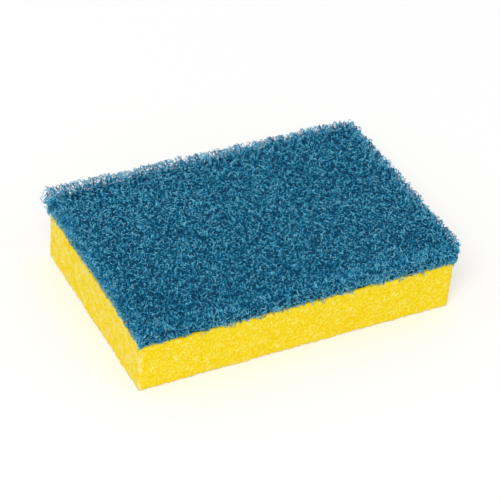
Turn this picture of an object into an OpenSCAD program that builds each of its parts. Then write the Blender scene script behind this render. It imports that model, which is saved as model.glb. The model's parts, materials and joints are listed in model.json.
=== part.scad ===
// Two-layer cleaning sponge: a cut block of soft foam with a thick scouring web
// bonded flat on its upper face. All sizes are in millimetres. The origin is at the
// centre of the foam's underside, +X runs along the long side, +Y to the back, +Z up.

/* [Foam block] */
// Length of the foam, left to right
foam_len = 140; // [100:1:170]
// Width of the foam, front to back
foam_wid = 92; // [60:1:110]
// Thickness of the foam
foam_thk = 22; // [8:0.5:50]
// Radius of the foam's four upright edges
foam_edge_r = 1.2; // [0.5:0.1:5]

/* [Scouring web] */
// Thickness of the web
web_thk = 9; // [6:0.5:20]
// How far the widest line of the web stands out past the foam
web_overhang = 1.3; // [1:0.1:4]
// How far the web's sides lean back in from that widest line to the foam
web_tuck = 0.9; // [0:0.1:1.2]
// Rounding of the web's top rim, where the loose fibres are worn down
rim_r = 1.8; // [1:0.1:5]
// Radius of the web's upright corners
web_corner_r = 2.4; // [2:0.1:6]

/* [Ragged edge] */
// How far the lowest fibres hang past the bond line, over the foam's sides
fringe_drop = 0.9; // [0.2:0.1:2]
// How far the web's sides swell and sink between its lumps
lump_h = 0.35; // [0:0.05:0.4]
// How far the web's upper face rises and falls
swell_h = 0.3; // [0:0.05:0.6]
// Distance between the lumps along the rim
lump_gap = 8; // [6:0.5:20]
// Distance between the gentle swells of the upper face
swell_gap = 34; // [25:1:60]
// How far the tufts of curled fibre stand above or below the swells
tuft_h = 0.35; // [0:0.05:0.6]
// Distance between neighbouring tufts
tuft_gap = 5; // [4:0.5:12]

/* [Fineness] */
// Distance between neighbouring points of the rim and of the upper face
rim_step = 2.3; // [2.2:0.1:5]
// Points in each upright corner
corner_steps = 5; // [3:1:8]

/* [Hidden] */

// Gap that keeps the hanging fringe off the foam's sides
fringe_gap = 0.15;
// Share of the rim's relief that the web's lower edge takes
base_relief = 0.5;
// How far that edge stands out past the foam, with room for its relief
base_out = max(web_overhang - web_tuck, fringe_gap + base_relief * lump_h + 0.05);
// Smallest corner radius of the top rim's rings
inner_corner_r = 0.6;
// How far the upper face's grid starts inside the top rim
face_inset = 1.4;
// The top rim's rounding, held below the web's thickness
rim = min(rim_r, web_thk * 0.55);
// Heights of the lower side rings, as shares of the straight side below the rim
side_shares = [0.18, 0.62];
// Turn of the rim's rounding from one ring to the next, in degrees
rim_turn = 30;
// Choice of chance values behind the tufts
tuft_seed = 12;

// Signs of the four corners, in the order in which the outline runs
CORNERS = [[-1, -1], [1, -1], [1, 1], [-1, 1]];

// One stretch of the outline is a straight side and the corner at its end. A station
// holds the signs that place its centre of curvature and the angle of its normal.
function side_steps(q) = ceil((q % 2 == 0 ? foam_len : foam_wid) / rim_step);
function corner_at(q) = CORNERS[q % 4];
function side_stations(q) =
    let (n = side_steps(q), from = corner_at(q), to = corner_at(q + 1))
    [for (i = [0 : n - 1]) concat(from + (to - from) * i / n, [90 * q - 90])];
function corner_stations(q) =
    [for (j = [0 : corner_steps - 1]) concat(corner_at(q + 1), [90 * q - 90 + 90 * j / corner_steps])];
stations = [for (q = [0 : 3]) each concat(side_stations(q), corner_stations(q))];
count = len(stations);

// Whole numbers of lumps fit round the outline, so that the relief closes on itself
outline_len = 2 * (foam_len + foam_wid);
fine_lumps = round(outline_len / lump_gap);
broad_lumps = round(fine_lumps * 0.62);

// Relief of the rim, between -1 and 1: a fine and a broad wave that drift apart
function ragged(i, shift) =
    (sin(360 * fine_lumps * i / count + shift) + sin(360 * broad_lumps * i / count + 2.2 * shift)) / 2;

// Relief of the upper face, between -1 and 1
function swell(p) =
    (sin(360 * (p.x + 0.5 * p.y) / swell_gap) + cos(360 * (p.y - 0.4 * p.x) / (0.8 * swell_gap))) / 2;

// Relief of the tufts, between -1 and 1: chance heights on a square lattice, eased from
// one corner of a square to the next
tuft_cols = ceil(foam_len / tuft_gap) + 4;
tuft_rows = ceil(foam_wid / tuft_gap) + 4;
tuft_heights = rands(-1, 1, tuft_cols * tuft_rows, tuft_seed);
function ease(t) = t * t * (3 - 2 * t);
function blend(a, b, t) = a + (b - a) * t;
function tuft(p) =
    let (
        u = p.x / tuft_gap + tuft_cols / 2 - 0.5,
        v = p.y / tuft_gap + tuft_rows / 2 - 0.5,
        k = floor(u) + floor(v) * tuft_cols,
        s = ease(u - floor(u)),
        t = ease(v - floor(v))
    )
    blend(
        blend(tuft_heights[k], tuft_heights[k + 1], s),
        blend(tuft_heights[k + tuft_cols], tuft_heights[k + tuft_cols + 1], s),
        t
    );
function face_relief(p) = swell_h * swell(p) + tuft_h * tuft(p);

// A ring of the web: how far it lies outside the foam, its corner radius, its height
// above the bond line, how much of the rim's relief it takes outwards, how much it
// takes downwards, and how much of the upper face's relief
function ring(out, corner_r, height, side = 0, hang = 0, face = 0) =
    [out, corner_r, height, side, hang, face];

base_rings = [
    ring(fringe_gap, foam_edge_r + fringe_gap, 0),
    ring(base_out, foam_edge_r + base_out, 0, side = base_relief, hang = 1)
];
side_rings = [
    for (f = side_shares)
        ring(blend(base_out, web_overhang, f), web_corner_r, f * (web_thk - rim), side = 1)
];
rim_rings = [
    for (a = [0 : rim_turn : 90])
        ring(
            web_overhang - rim * (1 - cos(a)),
            max(inner_corner_r, web_corner_r - rim * (1 - cos(a))),
            web_thk - rim * (1 - sin(a)),
            side = cos(a),
            face = sin(a)
        )
];
rings = concat(base_rings, side_rings, rim_rings);

// Point of a ring at a station of the outline, with the relief added
function web_point(k, i) =
    let (
        g = rings[k],
        s = stations[i],
        out = g[0] + g[3] * lump_h * ragged(i, 70 * k),
        centre = [s[0] * (foam_len / 2 + out - g[1]), s[1] * (foam_wid / 2 + out - g[1])],
        p = centre + g[1] * [cos(s[2]), sin(s[2])],
        drop = g[4] * fringe_drop * (0.5 + 0.5 * ragged(i, 25))
    )
    [p.x, p.y, foam_thk + g[2] - drop + g[5] * face_relief(p)];

// The upper face is a grid whose edge has a point for every station of the outline. The
// stations of a corner all share the grid's corner point.
cols = side_steps(0);
rows = side_steps(1);
face_half = [foam_len, foam_wid] / 2 + (web_overhang - rim - face_inset) * [1, 1];
function face_point(i, j) =
    let (p = [(2 * i / cols - 1) * face_half.x, (2 * j / rows - 1) * face_half.y])
    [p.x, p.y, foam_thk + web_thk + face_relief(p)];
function face_index(i, j) = len(rings) * count + i + j * (cols + 1);
function face_edge(i) =
    let (s = stations[i])
    face_index(round((s[0] + 1) / 2 * cols), round((s[1] + 1) / 2 * rows));

// Triangles between a ring and the next one, from the top ring to the grid's edge, over
// the grid, and from the lowest ring to the middle of the bonded face
function split(a, b, c, d) = [if (a != b) [a, c, b], if (c != d) [b, c, d]];
function band(k) = [
    for (i = [0 : count - 1])
        let (a = k * count + i, b = k * count + (i + 1) % count)
        each split(a, b, a + count, b + count)
];
function face_border() = [
    for (i = [0 : count - 1])
        let (j = (i + 1) % count, first = (len(rings) - 1) * count)
        each split(first + i, first + j, face_edge(i), face_edge(j))
];
function face_grid() = [
    for (j = [0 : rows - 1])
        for (i = [0 : cols - 1])
            each split(face_index(i, j), face_index(i + 1, j), face_index(i, j + 1), face_index(i + 1, j + 1))
];
function bonded_fan(hub) = [for (i = [0 : count - 1]) [(i + 1) % count, hub, i]];

module upright_prism(len, wid, edge_r, height) {
    linear_extrude(height) {
        square([len - 2 * edge_r, wid], center = true);
        square([len, wid - 2 * edge_r], center = true);
        for (c = CORNERS)
            translate([c.x * (len / 2 - edge_r), c.y * (wid / 2 - edge_r)])
                circle(edge_r, $fn = 48);
    }
}

module foam_block() {
    color([0.97, 0.855, 0.21])
        upright_prism(foam_len, foam_wid, foam_edge_r, foam_thk);
}

module scouring_pad() {
    last = len(rings) - 1;
    rim_points = [for (k = [0 : last]) for (i = [0 : count - 1]) web_point(k, i)];
    face_points = [for (j = [0 : rows]) for (i = [0 : cols]) face_point(i, j)];
    hub = len(rim_points) + len(face_points);
    color([0.157, 0.392, 0.514])
        polyhedron(
            points = concat(rim_points, face_points, [[0, 0, foam_thk]]),
            faces = concat(
                bonded_fan(hub),
                [for (k = [0 : last - 1]) each band(k)],
                face_border(),
                face_grid()
            )
        );
}

foam_block();
scouring_pad();
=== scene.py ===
import json
import math

import bpy
import numpy as np
from mathutils import Matrix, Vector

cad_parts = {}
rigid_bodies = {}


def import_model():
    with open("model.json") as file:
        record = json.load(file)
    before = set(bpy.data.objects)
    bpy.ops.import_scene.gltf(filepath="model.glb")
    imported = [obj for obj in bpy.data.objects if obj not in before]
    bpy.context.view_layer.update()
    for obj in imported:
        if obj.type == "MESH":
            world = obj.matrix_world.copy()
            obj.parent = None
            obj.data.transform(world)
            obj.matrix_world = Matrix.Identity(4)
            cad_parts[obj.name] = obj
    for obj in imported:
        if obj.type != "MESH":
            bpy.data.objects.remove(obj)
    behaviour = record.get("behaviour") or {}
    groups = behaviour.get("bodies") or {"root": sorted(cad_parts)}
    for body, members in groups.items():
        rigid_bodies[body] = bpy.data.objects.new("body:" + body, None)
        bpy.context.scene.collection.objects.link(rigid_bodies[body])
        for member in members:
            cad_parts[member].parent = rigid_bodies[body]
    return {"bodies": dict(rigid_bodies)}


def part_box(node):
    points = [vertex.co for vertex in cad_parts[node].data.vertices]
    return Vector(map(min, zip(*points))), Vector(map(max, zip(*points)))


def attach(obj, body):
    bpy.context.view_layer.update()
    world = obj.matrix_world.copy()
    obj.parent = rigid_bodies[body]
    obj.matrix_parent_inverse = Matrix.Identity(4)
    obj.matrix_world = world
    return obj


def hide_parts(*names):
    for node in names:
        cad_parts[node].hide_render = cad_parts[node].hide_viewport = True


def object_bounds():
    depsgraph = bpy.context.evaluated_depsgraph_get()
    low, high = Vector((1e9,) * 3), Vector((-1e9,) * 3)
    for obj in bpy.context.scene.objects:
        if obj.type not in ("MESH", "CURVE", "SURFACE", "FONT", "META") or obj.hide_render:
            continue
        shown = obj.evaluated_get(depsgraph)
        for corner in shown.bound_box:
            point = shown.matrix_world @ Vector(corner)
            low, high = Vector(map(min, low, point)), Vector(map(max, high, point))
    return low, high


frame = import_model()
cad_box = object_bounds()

# Camera
# A small studio camera on a long lens, held above the sponge's left front corner and
# tipped a little to one side, as the photograph was taken.

mm = 0.001
view_azimuth = math.radians(-29.4)
view_elevation = math.radians(38.3)
view_roll = math.radians(4.8)
view_distance = 890 * mm
lens_mm = 156.0
sensor_mm = 36.0

aim = (np.array(cad_box[0]) + np.array(cad_box[1])) / 2
back = np.array([
    math.sin(view_azimuth) * math.cos(view_elevation),
    -math.cos(view_azimuth) * math.cos(view_elevation),
    math.sin(view_elevation),
])
level_right = np.cross(-back, [0.0, 0.0, 1.0])
level_right /= np.linalg.norm(level_right)
level_up = np.cross(level_right, -back)
right = math.cos(view_roll) * level_right + math.sin(view_roll) * level_up
up = -math.sin(view_roll) * level_right + math.cos(view_roll) * level_up

camera_data = bpy.data.cameras.new("studio_camera")
camera_data.lens = lens_mm
camera_data.sensor_width = sensor_mm
camera = bpy.data.objects.new("studio_camera", camera_data)
bpy.context.scene.collection.objects.link(camera)
stand = np.eye(4)
stand[:3, :3] = np.stack([right, up, back], axis=1)
stand[:3, 3] = aim + back * view_distance
camera.matrix_world = Matrix(stand)
bpy.context.scene.camera = camera
bpy.context.scene.view_settings.view_transform = "Standard"

# Floor and studio light
# A sheet of white card on a table, under an even white tent of cloth with one soft lamp
# above the left front, so that a colour shows about as it is mixed.

floor_half = 1500 * mm
floor_white = (0.90, 0.90, 0.90)
floor_bright = (0.91, 0.91, 0.91)
grain_size = 1.1 * mm
floor_shown = 0.85
floor_glow = 0.245
shadow_reach = 90 * mm
white_reach = 450 * mm
tent_strength = 0.74
lamp_watts = 15.0
lamp_size = 900 * mm
lamp_place = np.array([-850, -1000, 1500]) * mm


def new_material(name, roughness, specular):
    """A material with one Principled shader, of the given roughness and specular level."""
    material = bpy.data.materials.new(name)
    material.use_nodes = True
    tree = material.node_tree
    shader = tree.nodes["Principled BSDF"]
    shader.inputs["Roughness"].default_value = roughness
    shader.inputs["Specular IOR Level"].default_value = specular
    return material, tree, shader


def new_piece(name, points, faces, material):
    """A mesh object at the origin from an array of points and a list of faces."""
    mesh = bpy.data.meshes.new(name)
    mesh.from_pydata(points.tolist(), [], faces)
    mesh.shade_smooth()
    mesh.materials.append(material)
    piece = bpy.data.objects.new(name, mesh)
    bpy.context.scene.collection.objects.link(piece)
    return piece


def feed(tree, value, entry):
    """Gives a node's input its value: another node's output, a colour, or a number."""
    if isinstance(value, bpy.types.NodeSocket):
        tree.links.new(value, entry)
    elif isinstance(value, tuple):
        entry.default_value = (*value, 1.0)
    else:
        entry.default_value = value


def worked_out(tree, operation, *terms):
    """The output of a node that does one sum on its terms."""
    node = tree.nodes.new("ShaderNodeMath")
    node.operation = operation
    for term, entry in zip(terms, node.inputs):
        feed(tree, term, entry)
    return node.outputs[0]


def ranged(tree, value, start, end, low, high):
    """The output of a node that goes evenly from low to high as its value goes from start
    to end, and stays at low or high outside them."""
    node = tree.nodes.new("ShaderNodeMapRange")
    terms = {"Value": value, "From Min": start, "From Max": end, "To Min": low, "To Max": high}
    for name, term in terms.items():
        feed(tree, term, node.inputs[name])
    return node.outputs["Result"]


def ramped(tree, value, stops):
    """The output of a colour ramp with the given places and linear colours, in order."""
    ramp = tree.nodes.new("ShaderNodeValToRGB")
    elements = ramp.color_ramp.elements
    while len(elements) < len(stops):
        elements.new(0.5)
    for element, (place, colour) in zip(elements, stops):
        element.position = place
        element.color = (*colour, 1.0)
    feed(tree, value, ramp.inputs["Fac"])
    return ramp.outputs["Color"]


def mixed(tree, kind, share, first, second):
    """The output of a node that mixes or multiplies two colours by a share."""
    mix = tree.nodes.new("ShaderNodeMix")
    mix.data_type = "RGBA"
    mix.blend_type = kind
    feed(tree, share, mix.inputs["Factor"])
    feed(tree, first, mix.inputs["A"])
    feed(tree, second, mix.inputs["B"])
    return mix.outputs["Result"]


def own_place(tree):
    """The output that gives each point's own place on the piece."""
    return tree.nodes.new("ShaderNodeTexCoord").outputs["Object"]


def pattern(tree, kind, size):
    """A chance pattern of the given kind and size, fixed to the piece."""
    texture = tree.nodes.new(kind)
    feed(tree, own_place(tree), texture.inputs["Vector"])
    feed(tree, 1 / size, texture.inputs["Scale"])
    return texture


def seen_or_not(tree, unseen, seen):
    """One value for the light that reaches the part, and another for a ray that the picture
    shows, be it straight, in gloss or through glass."""
    is_ray = tree.nodes.new("ShaderNodeLightPath").outputs
    shown = worked_out(tree, "MAXIMUM", is_ray["Is Camera Ray"], is_ray["Is Glossy Ray"])
    shown = worked_out(tree, "MAXIMUM", shown, is_ray["Is Transmission Ray"])
    return ranged(tree, shown, 0.0, 1.0, unseen, seen)


card, tree, shader = new_material("white_card", roughness=0.9, specular=0.1)
grain = pattern(tree, "ShaderNodeTexNoise", grain_size)
card_tone = ramped(tree, grain.outputs["Fac"], [(0.3, floor_white), (0.7, floor_bright)])
distance = tree.nodes.new("ShaderNodeVectorMath")
distance.operation = "LENGTH"
feed(tree, own_place(tree), distance.inputs[0])
lit_share = ranged(tree, distance.outputs["Value"], shadow_reach, white_reach, floor_shown, 0.0)
white_share = ranged(tree, distance.outputs["Value"], shadow_reach, white_reach, floor_glow, 1.0)
card_colour = mixed(tree, "MIX", seen_or_not(tree, 1.0, lit_share), (0.0, 0.0, 0.0), card_tone)
feed(tree, card_colour, shader.inputs["Base Color"])
feed(tree, (1.0, 1.0, 1.0), shader.inputs["Emission Color"])
feed(tree, seen_or_not(tree, 0.0, white_share), shader.inputs["Emission Strength"])
floor_points = np.array([[-1, -1, 0], [1, -1, 0], [1, 1, 0], [-1, 1, 0]]) * floor_half
floor = new_piece("floor", floor_points, [[0, 1, 2, 3]], card)

world = bpy.data.worlds.new("studio_tent")
bpy.context.scene.world = world
world.use_nodes = True
tent = world.node_tree.nodes["Background"]
feed(world.node_tree, (1.0, 1.0, 1.0), tent.inputs["Color"])
feed(world.node_tree, seen_or_not(world.node_tree, tent_strength, 1.0), tent.inputs["Strength"])

lamp_data = bpy.data.lights.new("soft_lamp", "AREA")
lamp_data.energy = lamp_watts
lamp_data.size = lamp_size
lamp = bpy.data.objects.new("soft_lamp", lamp_data)
bpy.context.scene.collection.objects.link(lamp)
beam = lamp_place - aim
beam /= np.linalg.norm(beam)
lamp_right = np.cross([0.0, 0.0, 1.0], beam)
lamp_right /= np.linalg.norm(lamp_right)
stand = np.eye(4)
stand[:3, :3] = np.stack([lamp_right, np.cross(beam, lamp_right), beam], axis=1)
stand[:3, 3] = lamp_place
lamp.matrix_world = Matrix(stand)

# Foam block
# A block of yellow polyurethane foam, blown in a large bun and cut to size, so its faces
# are flat and open its cells. The cutter rounds the upright edges a little, and all edges
# are worn. Its ends carry a painted sheen, its upright edges a painted highlight, and it is
# paler near its base.

foam_half = np.array(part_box("foam_block")[1][:2])
foam_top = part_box("foam_block")[1][2]
foam_edge_r = 1.2 * mm
foam_step = 0.5 * mm
tiny = 1e-9

# The cut skin: its cells, the wear along its edges and a slow wave
cell_size = 1.15 * mm
cell_depth = 0.28 * mm
cell_seed = 3
edge_wear = 1.2 * mm
edge_wear_reach = 1.9 * mm
wear_size = 2.1 * mm
wear_seed = 4
least_worn = 0.3
wave_depth = 0.12 * mm
wave_length = 31 * mm

# Its colour: fine cells, darker in their middles as painted shade in the pores, soft clouds,
# a painted sheen on the ends, a painted highlight on the upright edges, and a paler base
fine_cell = 0.87 * mm
cloud_size = 3.0 * mm
cloud_detail = 4.0
# Painted sheen on the ends, painted highlight on the upright edges, and paleness near the base
painted_end_sheen = 0.085
painted_edge_highlight = 0.3
pale_base = 0.25
pale_reach = 1.3 * mm
pale_full = 0.4 * mm
# The pale colour of the painted sheen and highlight and of the paler base
highlight_and_pale_foam = (0.99, 0.84, 0.62)
patch_range = (0.42, 0.58)
patch_strength = 2.0
glow_share = 0.25
glow_depth = 1.2 * mm
glow_spread = (1.0, 0.8, 0.2)
bump_depth = 0.12 * mm
bump_share = 0.7

# The bake map, in steps of the skin
map_gap = 4
bonded_scale = 0.46


def cell_points(corners, seed):
    """One point in each cubic cell, between 0 and 1 along each side. The cell's whole-number
    corner is mixed with the seed by multiplying and folding bits, three times over."""
    bits = (corners.astype(np.int64) * [73856093, 19349663, 83492791]).sum(axis=-1) + seed * 2654435
    shares = []
    for turn in range(3):
        bits = (bits ^ (bits >> 13)) * (1274126177 + 2 * turn) & 0x7FFFFFFF
        shares.append((bits & 0xFFFF) / 65536.0)
    return np.stack(shares, axis=-1)


def nearest_cell(points, size, seed):
    """Distance from each point to the nearest cell point, as a share of the cell's size:
    the least of |p / size - corner - cell point| over the 27 cells around p."""
    scaled = points / size
    corner = np.floor(scaled)
    nearest = np.full(len(points), np.inf)
    for offset in np.ndindex(3, 3, 3):
        near_corner = corner + np.array(offset) - 1
        gap = scaled - near_corner - cell_points(near_corner, seed)
        nearest = np.minimum(nearest, np.sqrt((gap * gap).sum(axis=1)))
    return nearest


def foam_lattice(steps):
    """Whole-number places on the block's walls and underside, with the faces that join them.
    The walls run once round the outline by height and the underside is a plain grid."""
    nx, ny, nz = steps
    x, y = np.arange(nx), np.arange(ny)
    ring = np.concatenate([
        np.stack([x, 0 * x], axis=1),
        np.stack([nx + 0 * y, y], axis=1),
        np.stack([nx - x, ny + 0 * x], axis=1),
        np.stack([0 * y, ny - y], axis=1),
    ])
    around = len(ring)
    wall = np.concatenate([
        np.repeat(ring[:, None, :], nz + 1, axis=1),
        np.broadcast_to(np.arange(nz + 1)[None, :, None], (around, nz + 1, 1)),
    ], axis=2).reshape(-1, 3)
    i, k = np.meshgrid(np.arange(around), np.arange(nz), indexing="ij")
    here, there = i * (nz + 1) + k, (i + 1) % around * (nz + 1) + k
    wall_faces = np.stack([here, there, there + 1, here + 1], axis=-1).reshape(-1, 4)
    gx, gy = np.meshgrid(np.arange(nx + 1), np.arange(ny + 1), indexing="ij")
    under = np.stack([gx, gy, 0 * gx], axis=-1).reshape(-1, 3)
    i, j = np.meshgrid(np.arange(nx), np.arange(ny), indexing="ij")
    first = len(wall) + i * (ny + 1) + j
    under_faces = np.stack([first, first + 1, first + ny + 2, first + ny + 1], axis=-1).reshape(-1, 4)
    places, merged = np.unique(np.concatenate([wall, under]), axis=0, return_inverse=True)
    merged = merged.reshape(-1)
    upper_ring = merged[np.arange(around) * (nz + 1) + nz]
    return places, merged[np.concatenate([wall_faces, under_faces])], upper_ring


def foam_skin(places, steps):
    """Points of the cut skin. A place becomes a point of the box, each upright edge is
    rounded by turning its square into a quarter disc, and the skin sinks by
    cell_depth * (1 - d)^2 at a distance d from a cell point, and by a long slow wave. The
    edges are worn: near is 1 on a face and falls to 0 at edge_wear_reach from it, and a
    point moves in from its faces, each by its near, for edge_wear * n^2 * (1 - worn)^2 in
    all, where n is the second largest near and worn is the distance from a point of the
    coarser cells of wear."""
    size = np.array([2 * foam_half[0], 2 * foam_half[1], foam_top])
    box = places / np.array(steps) * size - [foam_half[0], foam_half[1], 0.0]
    plan = box[:, :2].copy()
    centre = np.clip(plan, -(foam_half - foam_edge_r), foam_half - foam_edge_r)
    out = plan - centre
    reach = np.linalg.norm(out, axis=1, keepdims=True)
    outward = out / np.maximum(reach, tiny)
    box[:, :2] = centre + outward * np.abs(out).max(axis=1, keepdims=True)
    edge = (np.abs(np.abs(plan) - foam_half) < tiny).any(axis=1, keepdims=True)
    inward = np.concatenate([-outward * edge, (places[:, 2:] == 0) * 1.0], axis=1)
    inward /= np.maximum(np.linalg.norm(inward, axis=1, keepdims=True), tiny)
    d = np.minimum(nearest_cell(box, cell_size, cell_seed), 1)
    worn = np.clip(nearest_cell(box, wear_size, wear_seed), least_worn, 1)
    waves = np.sin(2 * np.pi * box[:, 0] / wave_length) * np.cos(2 * np.pi * box[:, 1] / wave_length)
    sink = cell_depth * (1 - d) ** 2 + wave_depth * (0.5 + 0.5 * waves)
    depths = np.concatenate([foam_half - np.abs(plan), box[:, 2:]], axis=1)
    near = np.clip(1 - depths / edge_wear_reach, 0, 1)
    way = near * np.concatenate([-np.sign(plan), np.ones((len(plan), 1))], axis=1)
    way /= np.linalg.norm(way, axis=1, keepdims=True)
    wear = edge_wear * np.sort(near, axis=1)[:, 1] ** 2 * (1 - worn) ** 2
    return box + inward * sink[:, None] + way * wear[:, None]


def unfolded(places, faces, upper_ring, steps):
    """A place on the skin's bake map for each corner of each face. The underside lies flat, a
    wall's point is its foot moved outwards by its height and a gap, as on a box laid open,
    and the bonded face is a small copy beside them."""
    nx, ny, nz = steps
    corners = places[faces]
    middles = corners.mean(axis=1)[:, :2]
    side = (middles == [nx, ny]) * 1.0 - (middles == 0)
    spots = corners[..., :2] + side[:, None] * (corners[..., 2:] + map_gap)
    bonded = places[upper_ring][:, :2] * bonded_scale + [0, ny + nz + 2 * map_gap]
    margin = nz + 2 * map_gap
    return (np.concatenate([spots.reshape(-1, 2), bonded]) + margin) / (nx + 2 * margin)


def keep_spots(piece, spots):
    """Gives a piece its bake map from one place for each corner of each face, in order."""
    layer = piece.data.uv_layers.new(name="OFBake")
    layer.data.foreach_set("uv", spots.astype(np.float32).ravel())


def bumped(tree, shader, height, depth, share):
    """Tilts a shader's surface as if a pattern stood depth high on it, in part."""
    bump = tree.nodes.new("ShaderNodeBump")
    feed(tree, depth, bump.inputs["Distance"])
    feed(tree, share, bump.inputs["Strength"])
    feed(tree, height, bump.inputs["Height"])
    feed(tree, bump.outputs["Normal"], shader.inputs["Normal"])


foam, tree, shader = new_material("yellow_foam", roughness=0.92, specular=0.12)
shader.inputs["Subsurface Weight"].default_value = glow_share
shader.inputs["Subsurface Radius"].default_value = glow_spread
shader.inputs["Subsurface Scale"].default_value = glow_depth
cells = pattern(tree, "ShaderNodeTexVoronoi", fine_cell)
# Each cell is darker towards its middle, where the bump sinks it: painted shade in the pores
pore_shaded_cell_tone = ramped(tree, cells.outputs["Distance"], [
    (0.0, (0.83, 0.53, 0.011)),
    (0.25, (0.935, 0.685, 0.018)),
    (0.5, (0.96, 0.74, 0.050)),
    (0.72, (0.98, 0.79, 0.150)),
    (1.0, (0.995, 0.86, 0.36)),
])
each_tone = ramped(tree, cells.outputs["Color"], [
    (0.0, (0.975, 0.93, 0.15)),
    (0.75, (1.0, 0.99, 0.80)),
    (1.0, (1.0, 1.0, 1.0)),
])
cloud = pattern(tree, "ShaderNodeTexNoise", cloud_size)
cloud.inputs["Detail"].default_value = cloud_detail
cloud_tone = ramped(tree, cloud.outputs["Fac"], [(0.38, (0.97, 0.945, 0.30)), (0.62, (1.0, 1.0, 1.0))])
apart = tree.nodes.new("ShaderNodeSeparateXYZ")
feed(tree, own_place(tree), apart.inputs["Vector"])
from_middle = [worked_out(tree, "ABSOLUTE", apart.outputs[axis]) for axis in "XY"]
# Painted sheen on the ends and painted highlight on the upright edges, broken into patches, and a paler
# band near the base
near_end, near_side = (
    ranged(tree, far, half - pale_reach, half - pale_full, 0.0, 1.0)
    for far, half in zip(from_middle, foam_half)
)
patches = ranged(tree, cloud.outputs["Fac"], *patch_range, 0.0, patch_strength)
sheen_and_highlight_share = worked_out(tree, "MULTIPLY_ADD", near_side, painted_edge_highlight, painted_end_sheen)
patchy_sheen_share = worked_out(tree, "MULTIPLY", sheen_and_highlight_share, patches)
end_sheen_share = worked_out(tree, "MULTIPLY", near_end, patchy_sheen_share)
base_share = ranged(tree, apart.outputs["Z"], pale_reach, pale_full, 0.0, pale_base)
sheen_and_pale_share = worked_out(tree, "MAXIMUM", end_sheen_share, base_share)
foam_colour = mixed(tree, "MULTIPLY", 1.0, pore_shaded_cell_tone, each_tone)
foam_colour = mixed(tree, "MIX", sheen_and_pale_share, foam_colour, highlight_and_pale_foam)
foam_colour = mixed(tree, "MULTIPLY", 1.0, foam_colour, cloud_tone)
feed(tree, foam_colour, shader.inputs["Base Color"])
bumped(tree, shader, cells.outputs["Distance"], bump_depth, bump_share)

foam_steps = tuple(int(round(s / foam_step)) for s in (2 * foam_half[0], 2 * foam_half[1], foam_top))
places, skin_faces, upper_ring = foam_lattice(foam_steps)
all_faces = skin_faces.tolist() + [upper_ring.tolist()]
foam_piece = new_piece("foam_skin", foam_skin(places, foam_steps), all_faces, foam)
keep_spots(foam_piece, unfolded(places, skin_faces, upper_ring, foam_steps))
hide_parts("foam_block")
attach(foam_piece, list(frame["bodies"])[0])

# Scouring web, inner mat
# The dense middle of the nonwoven: nylon fibres needled together and sprayed with resin.
# It is cut a little hollow at the left end and bonded to the foam. Its colour is painted
# shade: a dark sheet for the shade deep in the web, which shows between the outer fibres.

web_thk = 9 * mm
web_overhang = 1.3 * mm
web_tuck = 0.9 * mm
rim_r = 1.8 * mm
inner_corner_r = 0.6 * mm
fringe_drop = 0.9 * mm
lump_h = 0.35 * mm
lump_gap = 8 * mm
broad_lump_share = 0.62
swell_h = 0.3 * mm
swell_gap = 34 * mm
rim_step = 2.3 * mm
corner_steps = 5
end_hollow = 0.7 * mm

# Degrees by which the waves of lumps turn from ring to ring and at the fringe, and how many
# times further the broad wave turns
ring_shift = 70
fringe_shift = 25
broad_shift = 2.2

# The mat: how deep it lies, its rings on each part, and its threads
mat_depth = 1.5 * mm
side_rings = 5
rim_rings = 7
face_rings = 17
bend_size = 2.4 * mm
bend_detail = 3.0
thread_gap = 1.4 * mm
thread_r = 0.4 * mm
# The mat's darkest colour, painted shade deep in the web
darkest_web_shade = (0.001, 0.055, 0.12)

# The outline runs along four sides, each in whole steps, with a corner at the end of each
side_steps = np.ceil(np.round(2 * foam_half / rim_step, 3)).astype(int)[[0, 1, 0, 1]]
outline_steps = side_steps.sum() + 4 * corner_steps
side_starts = np.concatenate([[0], np.cumsum(side_steps + corner_steps)[:3]])
fine_lumps = round(4 * foam_half.sum() / lump_gap)
broad_lumps = round(broad_lump_share * fine_lumps)
core_half = foam_half + web_overhang - rim_r - inner_corner_r
quarter = rim_r * math.pi / 2
straight = web_thk - rim_r
web_reach = quarter + straight

# Rings of the web on the way down from its upper face. Their numbers grow from the foam
# up, and each turns its ring's lumps a little further against the others.
side_shares = np.array([0.38, 0.82, 1])
ring_places = np.concatenate([quarter * np.arange(4) / 3, quarter + straight * side_shares])
ring_numbers = np.arange(len(ring_places), 0, -1)


def outline_share(centre, outward):
    """How far round the outline a point lies, from 0 to 1, starting at the front's left
    end: its side's start, plus its share of the side, plus its share of the corner."""
    turn = np.round(np.mod(np.degrees(np.arctan2(outward[..., 1], outward[..., 0])) + 90, 360) / 90, 6)
    side = np.floor(turn).astype(int) % 4
    across = centre / core_half
    along = np.stack([across[..., 0], across[..., 1], -across[..., 0], -across[..., 1]], axis=-1)
    share = (np.take_along_axis(along, side[..., None], axis=-1)[..., 0] + 1) / 2
    place = side_starts[side] + side_steps[side] * share + corner_steps * (turn - np.floor(turn))
    return place / outline_steps


def ragged(share, shift):
    """Relief of the rim, from -1 to 1: the mean of a fine and a broad sine wave round it,
    turned by the shift and by broad_shift times it."""
    fine = np.sin(2 * np.pi * fine_lumps * share + np.radians(shift))
    return (fine + np.sin(2 * np.pi * broad_lumps * share + np.radians(broad_shift * shift))) / 2


def swell(x, y):
    """Relief of the upper face, from -1 to 1: the mean of two slanting long waves, a sine of
    x + y / 2 and a cosine of y - 0.4 * x that is a fifth shorter."""
    first = np.sin(2 * np.pi * (x + 0.5 * y) / swell_gap)
    return (first + np.cos(2 * np.pi * (y - 0.4 * x) / (0.8 * swell_gap))) / 2


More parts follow.
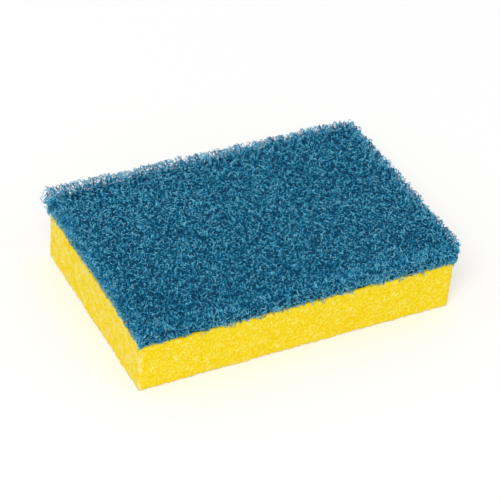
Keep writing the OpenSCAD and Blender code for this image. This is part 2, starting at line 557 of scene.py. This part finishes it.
def wrap(plane, lift):
    """Lays a flat web over the block and down its sides. A point of the plane past the
    upper face's edge by d follows the rim's arc by the angle d / rim_r, then the straight
    side, which leans in by web_tuck, and lift is how far it stands off. The left end is
    hollow by end_hollow * (1 - t^2), for t from -1 to 1 along it. Gives the points and the
    outward normals."""
    centre = np.clip(plane, -core_half, core_half)
    out = plane - centre
    reach = np.linalg.norm(out, axis=-1)
    outward = out / np.maximum(reach, tiny)[..., None]
    share = outline_share(centre, outward)
    d = np.maximum(reach - inner_corner_r, 0)
    phi = np.minimum(d / rim_r, math.pi / 2)
    down = np.maximum(d - quarter, 0)
    relief = ragged(share, ring_shift * np.interp(d, ring_places, ring_numbers))
    tuck = web_tuck * np.minimum(down / straight, 1)
    along_end = centre[..., 1] / core_half[1]
    hollow = end_hollow * np.clip(-outward[..., 0], 0, 1) * (1 - along_end ** 2)
    stand_off = rim_r + lump_h * relief + lift - hollow
    radial = np.minimum(reach, inner_corner_r) + stand_off * np.sin(phi) - tuck
    flat = centre + outward * radial[..., None]
    height = foam_top + web_thk - rim_r * (1 - np.cos(phi)) - down
    height = height + (swell_h * swell(flat[..., 0], flat[..., 1]) + lift) * np.cos(phi)
    normal = np.concatenate([outward * np.sin(phi)[..., None], np.cos(phi)[..., None]], axis=-1)
    return np.concatenate([flat, height[..., None]], axis=-1), normal


def outline_plane(share, reach):
    """Points of the plane at a given distance past the core rectangle, at whole stations of
    the outline: a straight run along each side and a fan of directions at each corner."""
    place = np.mod(share, 1) * outline_steps
    side = np.searchsorted(side_starts, place + tiny, side="right") - 1
    step = place - side_starts[side]
    along = np.minimum(step / side_steps[side], 1) * 2 - 1
    turn = np.radians(90 * side - 90 + 90 * np.maximum(step - side_steps[side], 0) / corner_steps)
    signs = np.array([[-1, -1], [1, -1], [1, 1], [-1, 1]])
    start, end = signs[side], signs[(side + 1) % 4]
    centre = (start + (end - start) * ((along + 1) / 2)[:, None]) * core_half
    return centre + np.stack([np.cos(turn), np.sin(turn)], axis=1) * reach


def mat_mesh():
    """The mat is rings of the wrapped plane, sunk by mat_depth: from the bond line up the
    side, over the rim and in over the face, with a fan to the middle of each face."""
    share = np.arange(outline_steps) / outline_steps
    reaches = inner_corner_r + np.concatenate([
        np.linspace(web_reach, quarter, side_rings),
        np.linspace(quarter, 0, rim_rings)[1:],
    ])
    rings = [wrap(outline_plane(share, reach), np.full(outline_steps, -mat_depth))[0] for reach in reaches]
    inner = outline_plane(share, inner_corner_r)
    for scale in np.linspace(1, 0, face_rings)[1:-1]:
        rings.append(wrap(inner * scale, np.full(outline_steps, -mat_depth))[0])
    points = np.concatenate(rings)
    count, last = outline_steps, len(rings) - 1
    points[:count, 2] = foam_top
    hubs = np.array([[0, 0, foam_top], [0, 0, points[-1, 2]]])
    i = np.arange(count)
    j = (i + 1) % count
    bands = [np.stack([i, j, j + count, i + count], axis=1) + k * count for k in range(last)]
    low = np.stack([j, i, 0 * i + len(points)], axis=1)
    high = np.stack([i + last * count, j + last * count, 0 * i + len(points) + 1], axis=1)
    return np.concatenate([points, hubs]), np.concatenate(bands).tolist() + low.tolist() + high.tolist()


# The mat's colours are painted shade: dark blue, with its threads a little lighter
mat, tree, shader = new_material("web_depth_shade", roughness=0.75, specular=0.2)
bend = pattern(tree, "ShaderNodeTexNoise", bend_size)
bend.inputs["Detail"].default_value = bend_detail
threads = pattern(tree, "ShaderNodeTexVoronoi", thread_gap)
threads.feature = "DISTANCE_TO_EDGE"
thread_shade_tone = ramped(tree, threads.outputs["Distance"], [
    (0.0, (0.010, 0.160, 0.31)),
    (0.10, (0.004, 0.095, 0.19)),
    (0.35, (0.001, 0.045, 0.10)),
])
feed(tree, mixed(tree, "MIX", bend.outputs["Fac"], darkest_web_shade, thread_shade_tone), shader.inputs["Base Color"])
thread_height = worked_out(tree, "SUBTRACT", 1.0, threads.outputs["Distance"])
bumped(tree, shader, thread_height, thread_r, 1.0)

mat_points, mat_faces = mat_mesh()
mat_piece = new_piece("web_mat", mat_points, mat_faces, mat)
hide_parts("scouring_pad")
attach(mat_piece, list(frame["bodies"])[0])

# Scouring web, outer fibres
# Crimped nylon fibres about a third of a millimetre thick with their resin, curled every
# way and bonded where they cross. Some stand off the face, loops fray past the rim, most
# of all at the left back corner, and the lowest hang over the foam.

fibre_r = 0.14 * mm
fibre_spread = (0.75, 1.25)
fibre_sides = 3
fibre_segments = 13
fibre_step = 0.55 * mm
end_taper = 0.6
curl_radii = (1.2 * mm, 5.0 * mm)
wobbles = (0.5, 1.4)
wobble_paces = (0.8, 1.7)
wave_paces = (0.7, 1.3)

# Each layer has its count of fibres, the lowest and highest level of one and the height of
# its wave in millimetres, how quickly it waves, and its share of the rim's fill.
layers = {
    "web_fibres_deep": {"count": 2000, "levels": (-1.2, -0.7), "wave": 0.35, "pace": 1.0, "fill": 0.6},
    "web_fibres_middle": {"count": 2400, "levels": (-0.85, -0.35), "wave": 0.45, "pace": 1.0, "fill": 0.8},
    "web_fibres_upper": {"count": 2400, "levels": (-0.5, 0.0), "wave": 0.5, "pace": 1.0, "fill": 1.0},
    "web_fibres_loose": {"count": 1400, "levels": (-0.3, 0.2), "wave": 0.5, "pace": 1.1, "fill": 1.0},
    "web_fibres_rim": {"count": 1300, "levels": (-0.6, 0.8), "wave": 0.7, "pace": 1.7, "fill": 1.3},
}
spare_share = 1.15

# The filled and frayed rim, the hanging fringe, and the tufts
rim_zone = (-2.4 * mm, 1.8 * mm)
rim_corner = (math.sqrt(2) - 1) * rim_r
fray_lift = 1.6 * mm
fringe_jag = 3.4 * mm
jag_gap = 1.3 * mm
jag_seed = 11
own_hangs = (-0.9 * mm, 0.3 * mm)
tuft_gap = 0.4 * mm
tuft_lift = 0.12 * mm
tuft_seed = 5

# Tones, from 0 for the darkest fibre to 1 for the lightest. They grow with a fibre's height
# and on the tufts, as painted shade on the deeper fibres and in the gaps, and towards the rim
# and down the sides, as painted light, and in the left part they fade from the back to the front.
dark_tone = 0.09
painted_depth_shade = 0.75
bright_span = 1.6 * mm
rim_bright_span = 3.6 * mm
own_tone = 0.1
painted_tuft_shade = 1.5
patch_tone = 0.03
patch_gap = 4.5 * mm
patch_seed = 8
# Painted light: lighter down the web's sides and along its rim
painted_side_light = 0.3
painted_rim_light = 0.13
rim_light_band = 9 * mm
fade_tone = 0.14
fade_ends = (-0.15, 0.65)

# The resin's gloss
resin_size = 0.6 * mm
resin_range = (0.35, 0.65)
resin_gloss = (0.38, 0.62)

# The strips of the bake map: their length for each width, how far their ends and sides stay
# clear of the next strip, and how far a tube's third side is moved along
strip_shape = 4
strip_end = 0.1
strip_side = 0.15
third_shift = 0.3

random = np.random.default_rng(41)


def scattered(count, least, most):
    """Places of the plane, one in each square of a grid laid over it, kept to those that lie
    from least to most past the upper face's edge, and thinned to the count."""
    half = core_half + inner_corner_r + most
    band = 4 * np.prod(half) - 4 * np.prod(np.maximum(core_half + inner_corner_r + least, 0))
    pitch = math.sqrt(band / count / spare_share)
    nx, ny = (int(math.ceil(2 * h / pitch)) for h in half)
    gx, gy = np.meshgrid(np.arange(nx), np.arange(ny), indexing="ij")
    cells = np.stack([gx, gy], axis=-1).reshape(-1, 2) + random.random((nx * ny, 2))
    plane = cells / [nx, ny] * 2 * half - half
    reach = np.linalg.norm(plane - np.clip(plane, -core_half, core_half), axis=1)
    inside = (np.abs(plane) - core_half).max(axis=1)
    plane = plane[(reach < inner_corner_r + most) & (inside > inner_corner_r + least)]
    return random.permutation(plane)[:count]


def chance_field(plane, gap, seed):
    """Smooth chance values from -1 to 1: one for each corner of a square lattice, joined by
    the easing t * t * (3 - 2 * t) along both sides of a square."""
    scaled = plane / gap
    corner = np.floor(scaled)
    t = scaled - corner
    t = t * t * (3 - 2 * t)
    flat = np.concatenate([corner, 0 * corner[..., :1]], axis=-1)
    at = [cell_points(flat + [i, j, 0], seed)[..., 0] for i, j in ((0, 0), (1, 0), (0, 1), (1, 1))]
    low = at[0] + (at[1] - at[0]) * t[..., 0]
    high = at[2] + (at[3] - at[2]) * t[..., 0]
    return 2 * (low + (high - low) * t[..., 1]) - 1


def curled(middles, layer):
    """Paths of curled fibres in the plane and their lifts. The heading grows evenly, with a
    sine wobble on it, so that each fibre is a loose arc; the steps along it are summed and
    centred on its middle. The lift is a slow sine wave about the fibre's own level."""
    n = len(middles)
    k = np.arange(fibre_segments + 1)
    curl_r = random.uniform(*curl_radii, (n, 1)) * random.choice([-1, 1], (n, 1))
    wobble = random.uniform(*wobbles, (n, 1))
    pace = random.uniform(*wobble_paces, (n, 1))
    phase = random.uniform(0, 2 * np.pi, (n, 3))
    heading = phase[:, :1] + k * fibre_step / curl_r + wobble * np.sin(k * pace + phase[:, 1:2])
    steps = np.stack([np.cos(heading), np.sin(heading)], axis=-1) * fibre_step
    plane = np.cumsum(steps, axis=1)
    plane += (middles - plane.mean(axis=1))[:, None, :]
    level = random.uniform(*layer["levels"], (n, 1))
    rise = layer["pace"] * random.uniform(*wave_paces, (n, 1))
    lift = level + layer["wave"] * np.sin(k * rise + phase[:, 2:3])
    return plane, lift * mm


def fold_back(plane):
    """A path that runs past the web's ragged lower edge turns back as far as it ran past it.
    The edge's own raggedness, chance steps along it and the fibre's own hang add up."""
    centre = np.clip(plane, -core_half, core_half)
    out = plane - centre
    reach = np.linalg.norm(out, axis=-1, keepdims=True)
    outward = out / np.maximum(reach, tiny)
    share = outline_share(centre, outward)[..., None]
    own_hang = random.uniform(*own_hangs, (len(plane), 1, 1))
    foot = centre + outward * (inner_corner_r + web_reach)
    jag = fringe_jag * chance_field(foot, jag_gap, jag_seed)[..., None]
    drop = fringe_drop * (0.5 + 0.5 * ragged(share, fringe_shift))
    limit = inner_corner_r + web_reach + drop + jag + own_hang
    return np.where(reach > limit, centre + outward * np.maximum(2 * limit - reach, 0), plane)


def fibre_spots(count):
    """A place on a bake map for each point of the tubes. Each fibre has a strip of its own,
    with its length along u, and its sides are folded over each other across v."""
    columns = math.ceil(math.sqrt(count / strip_shape))
    rows = math.ceil(count / columns)
    f, k, j = np.meshgrid(
        np.arange(count), np.arange(fibre_segments + 1), np.arange(fibre_sides), indexing="ij"
    )
    along = (k + third_shift * (j == 2)) / (fibre_segments + third_shift)
    across = np.array([0, 1, 0.5])[j]
    u = (f % columns + strip_end + (1 - 2 * strip_end) * along) / columns
    v = (f // columns + strip_side + (1 - 2 * strip_side) * across) / rows
    return np.stack([u, v], axis=-1).reshape(-1, 2)


def fibre_tubes(paths, normals, radii):
    """Closed tubes along the paths. Each ring of corners lies at r * (cos a * side +
    sin a * rise), where side is across the path and rise is square to both; r narrows to
    the ends by 1 - end_taper * t^6. Gives the points, the side quads and the end triangles."""
    n, m = paths.shape[0], paths.shape[1] - 1
    tangent = np.gradient(paths, axis=1)
    tangent /= np.maximum(np.linalg.norm(tangent, axis=-1, keepdims=True), tiny)
    side = np.cross(tangent, normals)
    side /= np.maximum(np.linalg.norm(side, axis=-1, keepdims=True), tiny)
    rise = np.cross(side, tangent)
    t = np.abs(np.linspace(-1, 1, m + 1))
    r = (radii[:, None] * (1 - end_taper * t ** 6))[:, :, None, None]
    a = 2 * np.pi * np.arange(fibre_sides) / fibre_sides
    corners = np.cos(a)[:, None] * side[:, :, None] + np.sin(a)[:, None] * rise[:, :, None]
    points = (paths[:, :, None] + r * corners).reshape(-1, 3)
    f, k, j = np.meshgrid(np.arange(n), np.arange(m), np.arange(fibre_sides), indexing="ij")
    here = (f * (m + 1) + k) * fibre_sides
    nextj = (j + 1) % fibre_sides
    quads = np.stack([here + j, here + nextj, here + fibre_sides + nextj, here + fibre_sides + j], axis=-1)
    first = np.arange(n)[:, None] * (m + 1) * fibre_sides
    around = np.arange(fibre_sides)
    caps = np.concatenate([first + around[::-1], first + m * fibre_sides + around])
    return points, quads.reshape(-1, 4), caps


fibre, tree, shader = new_material("web_fibre", roughness=0.5, specular=0.1)
shade = tree.nodes.new("ShaderNodeAttribute")
shade.attribute_name = "shade"
fibre_tone = ramped(tree, shade.outputs["Fac"], [
    (0.0, (0.001, 0.095, 0.215)),
    (0.35, (0.006, 0.205, 0.400)),
    (0.65, (0.024, 0.355, 0.615)),
    (0.85, (0.100, 0.530, 0.765)),
    (1.0, (0.230, 0.670, 0.850)),
])
feed(tree, fibre_tone, shader.inputs["Base Color"])
resin = pattern(tree, "ShaderNodeTexNoise", resin_size)
roughness = ranged(tree, resin.outputs["Fac"], *resin_range, *resin_gloss)
feed(tree, roughness, shader.inputs["Roughness"])

for name, layer in layers.items():
    on_rim = name == "web_fibres_rim"
    zone = rim_zone if on_rim else (-foam_half.max(), web_reach)
    plane, lift = curled(scattered(layer["count"], *zone), layer)
    plane = fold_back(plane)
    tufts = chance_field(plane, tuft_gap, tuft_seed)
    span = rim_bright_span if on_rim else bright_span
    height_share = np.clip((lift - layers["web_fibres_deep"]["levels"][0] * mm) / span, 0, 1)
    over_rim = np.linalg.norm(plane - np.clip(plane, -core_half, core_half), axis=-1) - inner_corner_r
    fill = layer["fill"] * rim_corner * np.sin(2 * np.clip(over_rim / rim_r, 0, math.pi / 2))
    fray = np.clip((plane[..., 1] - plane[..., 0]) / (2 * core_half.sum()) + 0.5, 0, 1) ** 2
    frayed = fray_lift * fray * np.clip(1 + over_rim / rim_zone[1], 0, 1) * on_rim
    paths, normals = wrap(plane, lift + tuft_lift * tufts + fill + frayed)
    count = len(paths)
    points, quads, caps = fibre_tubes(paths, normals, fibre_r * random.uniform(*fibre_spread, count))
    fibres = new_piece(name, points, quads.tolist() + caps.tolist(), fibre)
    keep_spots(fibres, fibre_spots(count)[np.concatenate([quads.ravel(), caps.ravel()])])
    # Each fibre's own random tone, with painted shade on the deeper fibres and painted light and shade
    # from the tufts, the sides and the rim
    tone = dark_tone + painted_depth_shade * height_share + random.uniform(-own_tone, own_tone, (count, 1))
    # Lighter on the raised tufts and darker in the gaps between them: painted light and shade
    tone += painted_tuft_shade * tufts + patch_tone * chance_field(plane, patch_gap, patch_seed)
    # Lighter down the web's sides: painted light
    tone += painted_side_light * np.clip(over_rim / web_reach, 0, 1)
    # Lighter in a band along the rim and over it: painted light
    tone += painted_rim_light * np.clip(1 + (np.abs(plane) - core_half).max(axis=-1) / rim_light_band, 0, 1)
    across = np.clip(plane / core_half, -1, 1)
    tone += fade_tone * across[..., 1] * np.interp(across[..., 0], fade_ends, (1, 0))
    shades = np.repeat(np.clip(tone, 0, 1), fibre_sides, axis=1)
    attribute = fibres.data.attributes.new("shade", "FLOAT", "POINT")
    attribute.data.foreach_set("value", shades.astype(np.float32).ravel())
    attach(fibres, list(frame["bodies"])[0])
